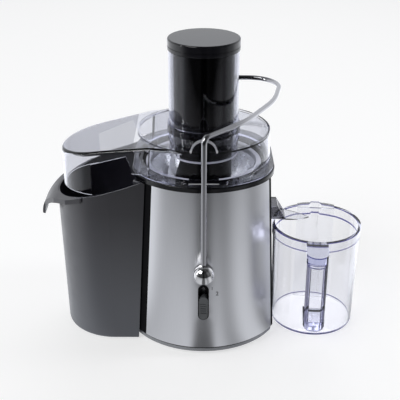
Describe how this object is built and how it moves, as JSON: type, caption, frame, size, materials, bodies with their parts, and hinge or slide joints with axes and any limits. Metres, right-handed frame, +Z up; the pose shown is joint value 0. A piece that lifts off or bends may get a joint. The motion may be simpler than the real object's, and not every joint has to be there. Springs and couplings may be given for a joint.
{
  "type": "centrifugal juicer",
  "caption": "Countertop centrifugal juicer with a clear lid and feed tube, steel front, locking arm, side pulp container and clear juice jug.",
  "frame": {"origin": "centre of the whole footprint, at the height of the surface that it stands on", "axes": "+Z up along the motor axis, -Y to the user and the speed slider, +X to the jug"},
  "size_m": [0.3826, 0.2272, 0.356],
  "materials": {
    "brushed_steel_panel": "vertically brushed stainless steel",
    "black_housing": "fine satin moulding",
    "grey_plate": "satin grey moulding",
    "zinc_steel": "plain steel",
    "rubber": "matte black rubber",
    "black_gloss": "glossy black moulding",
    "slider_grey": "satin dark grey",
    "white_moulding": "satin pale moulding",
    "smoked_clear": "smoked clear plastic",
    "motor_aluminium": "die cast",
    "bronze": "sintered bronze",
    "motor_iron": "laminated core and enamelled windings",
    "basket_steel": "perforated stainless steel",
    "clear_lid": "clear plastic with a faint cool tint",
    "pusher_black": "glossy black moulding",
    "cap_black": "satin-gloss black moulding",
    "chrome_rod": "polished steel",
    "chrome_ball": "polished chrome",
    "bin_grey": "satin dark grey moulding",
    "clear_jug": "clear plastic with a faint cool tint"
  },
  "bodies": {
    "base": {"base_housing": "black_housing", "front_panel": "brushed_steel_panel", "base_plate": "grey_plate", "base_screws": "zinc_steel", "rubber_feet": "rubber", "top_ring": "black_gloss", "cord_inlet": "rubber", "slot_bezel": "black_gloss", "speed_switch": "white_moulding", "knob_catch": "rubber", "juice_bowl": "smoked_clear", "bowl_deck": "black_housing", "motor_frame": "motor_aluminium", "motor_bridge": "motor_aluminium", "lower_bearing": "bronze", "upper_bearing": "bronze", "stator": "motor_iron", "arm_bracket": "black_housing"},
    "drive": {"armature": "motor_iron", "motor_shaft": "zinc_steel", "cooling_fan": "white_moulding", "drive_coupling": "black_housing", "filter_basket": "basket_steel", "basket_rim": "white_moulding", "grater_disc": "basket_steel"},
    "lid": {"lid": "clear_lid"},
    "pusher": {"pusher_body": "pusher_black", "pusher_cap": "cap_black"},
    "arm": {"locking_arm": "chrome_rod", "ball_knob": "chrome_ball", "arm_collar": "black_gloss"},
    "slider": {"speed_slider": "slider_grey"},
    "container": {"pulp_container": "bin_grey"},
    "jug": {"juice_jug": "clear_jug"},
    "separator": {"froth_separator": "clear_jug"}
  },
  "joints": [
    {"name": "drive_spin", "type": "hinge", "parent": "base", "child": "drive", "pos_m": [0, 0.00665, 0.1], "axis": [0, 0, 1], "continuous": true},
    {"name": "lid_lift", "type": "slide", "parent": "base", "child": "lid", "axis": [0, 0, 1], "range_m": [0, 0.02]},
    {"name": "pusher_slide", "type": "slide", "parent": "lid", "child": "pusher", "axis": [0, 0, 1], "range_m": [0, 0.1]},
    {"name": "arm_swing", "type": "hinge", "parent": "base", "child": "arm", "pos_m": [0, 0.10565, 0.19], "axis": [0, 0, 1], "range_deg": [0, 30]},
    {"name": "speed_slide", "type": "slide", "parent": "base", "child": "slider", "axis": [0, 0.0304, 0.9995], "range_m": [0, 0.0135]},
    {"name": "container_slide", "type": "slide", "parent": "base", "child": "container", "axis": [-1, 0, 0], "range_m": [0, 0.12]},
    {"name": "jug_slide", "type": "slide", "parent": "base", "child": "jug", "axis": [1, 0, 0], "range_m": [0, 0.1]},
    {"name": "separator_lift", "type": "slide", "parent": "jug", "child": "separator", "axis": [0, 0, 1], "range_m": [0, 0.04]}
  ]
}
